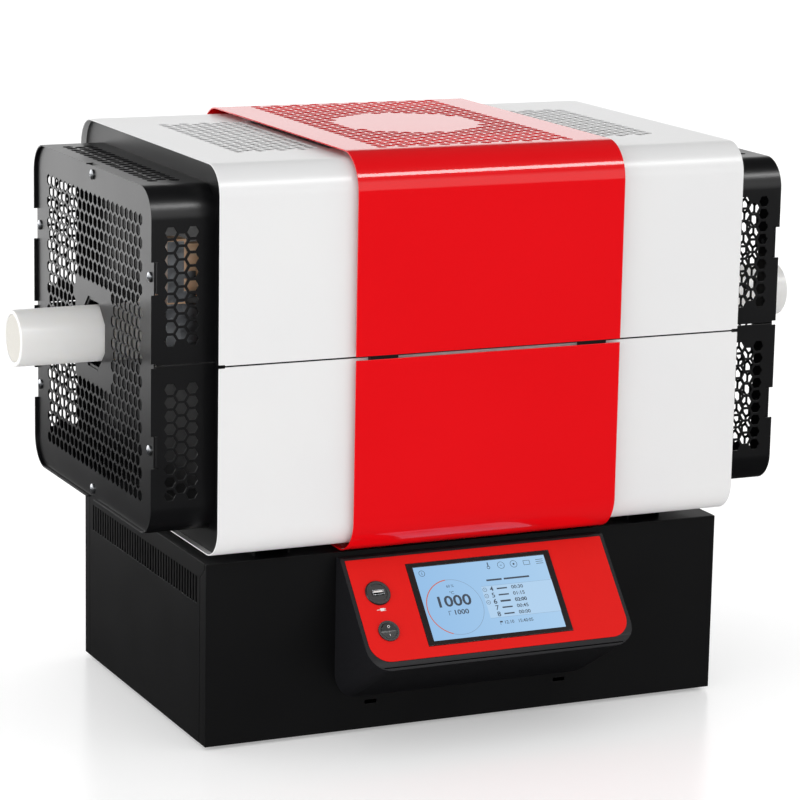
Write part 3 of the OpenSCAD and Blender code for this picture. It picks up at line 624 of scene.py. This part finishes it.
# %% The face's own frame
FACE_TILT = math.radians(41.5)
FILM = mm(0.8)
film_low, film_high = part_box("console_overlay")
face = Matrix.Translation(
    ((film_low.x + film_high.x) / 2, film_high.y, film_high.z - FILM * math.sin(FACE_TILT))
) @ Matrix.Rotation(math.pi / 2 - FACE_TILT, 4, "X")
SCREEN_W = 154
SCREEN_TOP = 15.6
SCREEN_OUT = 1.1
print("face at", face.translation)


def screen_place(x, y, lift=0.1):
    """A point on the picture, in millimetres from its top left corner."""
    return Vector((mm(x - SCREEN_W / 2), mm(-SCREEN_TOP - y), mm(SCREEN_OUT + lift)))


# %% [markdown]
# ## Figures and lines on the screen
#
# Letters start as text, which is turned into a mesh before it is placed. A ring is a circle
# drawn out into a narrow flat band, and a bar is a plane. Everything floats a tenth of a
# millimetre over the glass, as printed light.


# %% Drawing tools
def write(words, x, y, height, bold=0.0, stretch=1.0, lift=0.15):
    bpy.ops.object.text_add(location=(0, 0, 0))
    piece = bpy.context.active_object
    piece.data.body = words
    piece.data.size = mm(height) / 0.72
    piece.data.align_x = "CENTER"
    piece.data.align_y = "CENTER"
    piece.data.offset = mm(bold)
    piece.data.resolution_u = 3
    pick(piece)
    bpy.ops.object.convert(target="MESH")
    bake(piece, Matrix.Translation(screen_place(x, y, lift)) @ Matrix.Diagonal((stretch, 1, 1, 1)))
    return piece


def bar(x, y, width, height, lift=0.15):
    bpy.ops.mesh.primitive_plane_add(size=1)
    piece = bpy.context.active_object
    size = Matrix.Diagonal((mm(width), mm(height), 1, 1))
    bake(piece, Matrix.Translation(screen_place(x, y, lift)) @ size)
    return piece


def flat_ring(radius, width, first=0, last=360):
    """A flat band round the origin, from one angle to the other, in degrees from the right."""
    steps = max(int(abs(last - first) / 6), 4)
    bpy.ops.mesh.primitive_plane_add(size=1)
    piece = bpy.context.active_object
    bake(
        piece,
        Matrix.Rotation(math.radians(first), 4, "Z")
        @ Matrix.Translation((mm(radius), 0, 0))
        @ Matrix.Diagonal((mm(width), mm(0.01), 1, 1)),
    )
    bpy.ops.object.mode_set(mode="EDIT")
    bpy.ops.mesh.select_all(action="SELECT")
    bpy.ops.mesh.delete(type="ONLY_FACE")
    bpy.ops.mesh.select_all(action="SELECT")
    bpy.ops.mesh.remove_doubles(threshold=mm(0.05))
    bpy.ops.mesh.select_all(action="SELECT")
    bpy.ops.mesh.spin(steps=steps, angle=-math.radians(last - first), center=(0, 0, 0), axis=(0, 0, 1))
    bpy.ops.mesh.select_all(action="SELECT")
    bpy.ops.mesh.remove_doubles(threshold=mm(0.02))
    bpy.ops.mesh.normals_make_consistent(inside=False)
    bpy.ops.object.mode_set(mode="OBJECT")
    return piece


def ring(x, y, radius, width, first=0, last=360, lift=0.15):
    piece = flat_ring(radius, width, first, last)
    bake(piece, Matrix.Translation(screen_place(x, y, lift)))
    return piece


def settle(name, pieces, material, body="furnace"):
    piece = join(name, pieces)
    bake(piece, face)
    paint(piece, material)
    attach(piece, body)
    return piece


# %% [markdown]
# ## The screen's picture
#
# A round gauge stands on the left with the temperature in it, a list of program steps on the
# right, and a row of small symbols along the top. Only numbers and plain shapes are used.

# %% The gauge and the list
GAUGE = (35, 50)
GAUGE_R = 32
ROW_FIRST = 34
ROW_STEP = 7.4
steps = ["00:30", "01:15", "02:00", "00:45", "00:00"]
settle("screen_fields", [bar(112.5, 48.5, 83, 37, 0.05)], screen_pale)
settle(
    "screen_lines",
    [ring(*GAUGE, GAUGE_R, 0.5), bar(112.5, 67.3, 83, 0.25), bar(112.5, 29.8, 83, 0.25)],
    screen_grey,
)
settle("screen_progress", [ring(*GAUGE, GAUGE_R, 1.1, 95, 250, 0.2)], screen_red)
figures = [
    write("1000", 34.5, 43.4, 12.6, 0.35, 1.2),
    write("1000", 40, 56.4, 5.6, 0.15, 1.15),
    write("°C", 35.6, 33.6, 3.6, 0.03),
    write("60 %", 35.6, 25.6, 3.2),
    bar(88, 23.4, 18, 2),
    bar(114.5, 23.4, 30, 2),
    write("12.10   15:40:05", 102, 73.6, 3.8, 0.05),
]
for k, time in enumerate(steps):
    y = ROW_FIRST + k * ROW_STEP
    strong = 0.18 if k == 2 else 0.09
    figures.append(write(str(k + 4), 82, y, 5.6, strong, 1.1))
    figures.append(bar(94, y, 12, 2.1 if k == 2 else 1.6))
    figures.append(write(time, 112, y, 4.1, strong, 1.1))
for k in range(3):
    figures.append(ring(74, ROW_FIRST + k * ROW_STEP, 2.2, 0.45))
    figures.append(bar(74, ROW_FIRST + k * ROW_STEP, 1.8, 0.5))
figures += [bar(26, 56.4, 0.6, 5), bar(27.6, 54.2, 2.6, 0.6)]
figures += [bar(80.5, 73.6, 0.5, 4.4), bar(82, 72.4, 2.6, 1.8)]

# %% [markdown]
# ## The row of symbols
#
# Each symbol is two or three plain shapes: a thermometer, a stop mark, a dot in a ring, a folder
# and a menu of lines.

# %% The symbols
figures += [ring(86, 8.6, 1.6, 0.6), bar(86, 5.2, 1.2, 5)]
figures += [ring(101, 7.4, 3.9, 0.5), bar(101, 7.4, 2.6, 0.6)]
figures += [ring(116, 7.4, 3.9, 0.5), ring(116, 7.4, 0.6, 1.1)]
figures += [bar(131.4, y, 7.6, 0.5) for y in (4.8, 9.8)]
figures += [bar(x, 7.3, 0.5, 5.4) for x in (127.8, 135)]
figures += [bar(146.6, y, 8.4, 0.6) for y in (5, 7.3, 9.6)]
figures += [ring(8.4, 7.9, 3.3, 0.5), bar(8.4, 8.4, 0.6, 2.4), bar(8.4, 6.3, 0.6, 0.6)]
settle("screen_figures", figures, screen_dark)

# %% [markdown]
# ## A mark on the film
#
# A small white plug mark sits between the socket and the switch, made of four bars.


# %% The plug mark
def face_bar(x, down, width, height, lift):
    bpy.ops.mesh.primitive_plane_add(size=1)
    piece = bpy.context.active_object
    bake(
        piece,
        Matrix.Translation((mm(x), mm(-down), mm(lift))) @ Matrix.Diagonal((mm(width), mm(height), 1, 1)),
    )
    return piece


CONTROL_X = -124
MARK_DOWN = 59.6
MARK_LIFT = 0.9
settle(
    "socket_mark",
    [
        face_bar(CONTROL_X, MARK_DOWN, 4.6, 3.2, MARK_LIFT),
        face_bar(CONTROL_X + 3, MARK_DOWN - 0.9, 2.2, 0.6, MARK_LIFT),
        face_bar(CONTROL_X + 3, MARK_DOWN + 0.9, 2.2, 0.6, MARK_LIFT),
        face_bar(CONTROL_X - 4.2, MARK_DOWN, 4.2, 0.7, MARK_LIFT),
    ],
    white_print,
)

# %% [markdown]
# ## Marks on the rocker
#
# The rocker's ring and line are printed in white on its two halves, which lean ten degrees either
# way from its middle. They belong to the rocker's body, so they tip with it.

# %% The rocker's marks
ROCKER_DOWN = 84.7
ROCKER_LEAN = 10
ROCKER_RISE = 1.2
MARK_OUT = 4.6
MARK_FLOAT = 0.12
bpy.ops.mesh.primitive_plane_add(size=1)
line = bpy.context.active_object
bake(line, Matrix.Diagonal((mm(0.5), mm(2.4), 1, 1)))
seat = Matrix.Translation((mm(CONTROL_X), mm(-ROCKER_DOWN), FILM)) @ Matrix.Rotation(
    math.radians(ROCKER_LEAN), 4, "X"
)
for mark, side in ((flat_ring(1.2, 0.45), 1), (line, -1)):
    lean = Matrix.Rotation(math.radians(ROCKER_LEAN * side), 4, "X")
    half = Matrix.Translation((0, 0, mm(ROCKER_RISE))) @ lean
    bake(mark, seat @ half @ Matrix.Translation((0, mm(MARK_OUT * side), mm(MARK_FLOAT))))
    settle("rocker_ring" if side > 0 else "rocker_line", [mark], white_print, "rocker")

# %% [markdown]
# ## The socket's metal shell
#
# A USB socket is a folded steel shell with a plastic tongue across it. The shell is a flat ring
# given a height, and the tongue is a block in its upper half.

# %% The socket
SOCKET_DOWN = 40.5
SOCKET_FLOOR = 2.0
SHELL_W = 12.6
SHELL_H = 5.2
bpy.ops.mesh.primitive_plane_add(size=1)
shell = bpy.context.active_object
bake(shell, Matrix.Diagonal((mm(SHELL_W), mm(SHELL_H), 1, 1)))
bpy.ops.object.mode_set(mode="EDIT")
bpy.ops.mesh.select_all(action="SELECT")
bpy.ops.mesh.inset(thickness=mm(0.5))
bpy.ops.mesh.delete(type="FACE")
bpy.ops.object.mode_set(mode="OBJECT")
thick = shell.modifiers.new("height", "SOLIDIFY")
thick.thickness = mm(1.4)
thick.offset = 1
bpy.ops.object.modifier_apply(modifier=thick.name)
bpy.ops.mesh.primitive_cube_add(size=1)
tongue = bpy.context.active_object
bake(tongue, Matrix.Translation((0, mm(0.9), mm(0.6))) @ Matrix.Diagonal((mm(10.2), mm(1.7), mm(1.2), 1)))
for name, piece, material in (("socket_shell", shell, bright_zinc), ("socket_tongue", tongue, white_print)):
    bake(piece, Matrix.Translation((mm(CONTROL_X), mm(-SOCKET_DOWN), mm(SOCKET_FLOOR))))
    settle(name, [piece], material)

# %% [markdown]
# ## Behind the front holes of the left guard
#
# The heater's leads end on a ceramic block behind the guard. Clamping straps of plated steel cross
# its outer half, a bracket carries it from below, and one lead in dark red insulation leaves
# downwards. The straps and the bracket are cut blocks, and the lead is a bent curve with a
# thickness.


# %% Straps, bracket and lead
def block(low, high, edge=0.3):
    """A block between two corners in millimetres, with its edges broken."""
    bpy.ops.mesh.primitive_cube_add(size=1)
    piece = bpy.context.active_object
    middle = [mm(a + b) / 2 for a, b in zip(low, high)]
    bake(piece, Matrix.Translation(middle) @ Matrix.Diagonal((*[mm(b - a) for a, b in zip(low, high)], 1)))
    broken = piece.modifiers.new("edge", "BEVEL")
    broken.width = mm(edge)
    broken.segments = 2
    bpy.ops.object.modifier_apply(modifier=broken.name)
    return piece


def lay(name, piece, material):
    piece.name = name
    paint(piece, material)
    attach(piece, "furnace")


def make_lead_sleeve():
    material, tree, shader, place = finish("dark_red_sleeve", "#6e1c1c", Roughness=0.6)
    braid = cloud(tree, place, 1, 2)
    tint(tree, shader, braid.outputs["Fac"], "#571414", "#852626")
    raise_grain(tree, shader, braid.outputs["Fac"], 0.1, 0.5)
    return material


block_low, block_high = [v * 1000 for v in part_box("terminal_block")]
front = block_low.y
straps = [block((block_low.x, front - 2, block_low.z + 2), (block_low.x + 17, front, block_high.z - 2))]
straps += [
    block((block_low.x + 17, front - 1.4, z), (block_low.x + 30, front, z + 7))
    for z in (block_low.z + 6, block_low.z + 26)
]
lay("terminal_straps", join("terminal_straps", straps), galvanised)
bracket = join(
    "terminal_bracket",
    [
        block((block_low.x, front + 2, block_low.z - 46), (block_high.x, front + 4, block_low.z)),
        block((block_high.x - 2, front + 2, block_low.z - 46), (block_high.x, front + 20, block_low.z)),
    ],
)
lay("terminal_bracket", bracket, galvanised)
bpy.ops.curve.primitive_bezier_curve_add()
lead = bpy.context.active_object
lead.data.bevel_depth = mm(2.2)
lead.data.bevel_resolution = 3
lead.data.resolution_u = 16
LEAD_X = block_high.x - 9
ends = (
    ((LEAD_X, front - 0.5, block_low.z + 12), (0, -6, -14)),
    ((LEAD_X - 2, front - 2.4, block_low.z - 44), (2, 3, -16)),
)
for point, (place, pull) in zip(lead.data.splines[0].bezier_points, ends):
    point.co = [mm(v) for v in place]
    point.handle_right = [mm(a + b) for a, b in zip(place, pull)]
    point.handle_left = [mm(a - b) for a, b in zip(place, pull)]
lead.data.use_fill_caps = True
pick(lead)
bpy.ops.object.convert(target="MESH")
bpy.ops.object.shade_smooth_by_angle(angle=math.radians(50))
lay("terminal_lead", bpy.context.active_object, make_lead_sleeve())

# %% [markdown]
# ## The camera
#
# The camera stands to the left of the console and a little above the furnace, far away with a
# long lens, so that upright edges stay almost parallel.


# %% Camera
def aim(place, tilt, turn, roll, lens, shift=(0, 0)):
    data = bpy.data.cameras.new("view")
    camera = bpy.data.objects.new("view", data)
    bpy.context.scene.collection.objects.link(camera)
    camera.matrix_world = (
        Matrix.Translation([mm(v) for v in place])
        @ Matrix.Rotation(math.radians(turn), 4, "Z")
        @ Matrix.Rotation(math.radians(tilt), 4, "X")
        @ Matrix.Rotation(math.radians(roll), 4, "Z")
    )
    data.lens = lens
    data.sensor_width = 36
    data.shift_x, data.shift_y = shift
    data.clip_end = 50
    bpy.context.scene.camera = camera


aim((-1493.4, -3182.4, 1075.6), 77.8648, -24.7429, 1.0834, 147.309)

# %% [markdown]
# ## Floor
#
# A studio table is pale and slightly glossy, so it gives a soft mirror of the base, and a little
# light comes through it from below. Gloss is kept from seeing it, as black cards do in a studio,
# so that the front stays deep black and red.


# %% Floor
def make_table():
    material, tree, shader, place = finish("studio_table", "#f7f7f7", Roughness=0.24)
    shader.inputs["Emission Color"].default_value = linear("#ffffff")
    shader.inputs["Emission Strength"].default_value = 0.32
    haze = cloud(tree, place, 400, 2)
    vary(tree, shader, "Roughness", haze.outputs["Fac"], 0.22, 0.27)
    return material


bpy.ops.mesh.primitive_plane_add(size=30, location=(0, 0, 0))
floor = bpy.context.active_object
floor.name = "studio_floor"
floor.visible_glossy = False
paint(floor, make_table())

# %% [markdown]
# ## Studio light
#
# The room is a white tent: it lights every side evenly, a little less from its roof, but gloss sees
# only a bright band that starts at the horizon, with darkness above. Seen in the flat top of the
# red band, it makes a pale sheen.

# %% The tent
BAND_FROM = -2
BAND_TO = 24
SIDES = 0.93
ROOF = 0.72
MIRRORED = 1.1
BELOW = 0.03
ABOVE = 0.04
world = bpy.data.worlds.new("white_tent")
bpy.context.scene.world = world
world.use_nodes = True
sky = world.node_tree
plain = sky.nodes["Background"]
direction = add(sky, "ShaderNodeTexCoord")
height = add(sky, "ShaderNodeSeparateXYZ", {}, {"Vector": direction.outputs["Generated"]})
dimmed = add(
    sky,
    "ShaderNodeMapRange",
    {"From Min": 0.25, "From Max": 1.0, "To Min": SIDES, "To Max": ROOF},
    {"Value": height.outputs["Z"]},
)
sky.links.new(dimmed.outputs["Result"], plain.inputs["Strength"])
edges = [math.sin(math.radians(a)) for a in (BAND_FROM - 2, BAND_FROM + 2, BAND_TO - 5, BAND_TO + 3)]
rise = add(
    sky,
    "ShaderNodeMapRange",
    {"From Min": edges[0], "From Max": edges[1], "To Min": BELOW, "To Max": MIRRORED},
    {"Value": height.outputs["Z"]},
)
fall = add(
    sky,
    "ShaderNodeMapRange",
    {"From Min": edges[2], "From Max": edges[3], "To Min": 1.0, "To Max": ABOVE},
    {"Value": height.outputs["Z"]},
)
band = add(
    sky, "ShaderNodeMath", {"operation": "MULTIPLY"}, {0: rise.outputs["Result"], 1: fall.outputs["Result"]}
)
banded = add(sky, "ShaderNodeBackground", {"Color": (1, 1, 1, 1)}, {"Strength": band.outputs["Value"]})
white = add(sky, "ShaderNodeBackground", {"Color": (1, 1, 1, 1), "Strength": 1.0})
plain.inputs["Color"].default_value = (1, 1, 1, 1)
seen = add(sky, "ShaderNodeLightPath")
gloss = add(
    sky,
    "ShaderNodeMixShader",
    {},
    {0: seen.outputs["Is Glossy Ray"], 1: plain.outputs["Background"], 2: banded.outputs["Background"]},
)
whole = add(
    sky,
    "ShaderNodeMixShader",
    {},
    {0: seen.outputs["Is Camera Ray"], 1: gloss.outputs["Shader"], 2: white.outputs["Background"]},
)
sky.links.new(whole.outputs["Shader"], sky.nodes["World Output"].inputs["Surface"])

# %% [markdown]
# ## Lamps
#
# A large card on the left lights the tube and the guards. A card behind the left end turns the
# black end plates grey at their flat angle, and a long strip in front draws the thin bright line
# along each bend. Those two are seen by gloss only, so they brighten no paint.


# %% Lamps
def softbox(name, place, target, width, height, power):
    data = bpy.data.lights.new(name, "AREA")
    data.shape = "RECTANGLE"
    data.size = width
    data.size_y = height
    data.energy = power
    lamp = bpy.data.objects.new(name, data)
    lamp.location = place
    lamp.rotation_euler = (Vector(target) - Vector(place)).to_track_quat("-Z", "Y").to_euler()
    lamp.visible_camera = False
    bpy.context.scene.collection.objects.link(lamp)
    return lamp


LEFT_END = (-0.3, 0, 0.4)
softbox("left_card", (-3.2, -1.0, 0.9), LEFT_END, 1.2, 1.6, 24)
softbox("front_fill", (-1.0, -3.6, 3.0), (0, 0, 0.35), 1.6, 1.0, 6)
left_back_card = softbox("left_back_card", (-1.5, 3.2, 0.3), LEFT_END, 2.5, 1.2, 17)
front_strip = softbox("front_strip", (0.9, -2.15, 2.4), (0, -0.15, 0.6), 3.0, 0.42, 50)
for mirror_only in (left_back_card, front_strip):
    mirror_only.visible_diffuse = False
bpy.context.scene.view_settings.view_transform = "Standard"
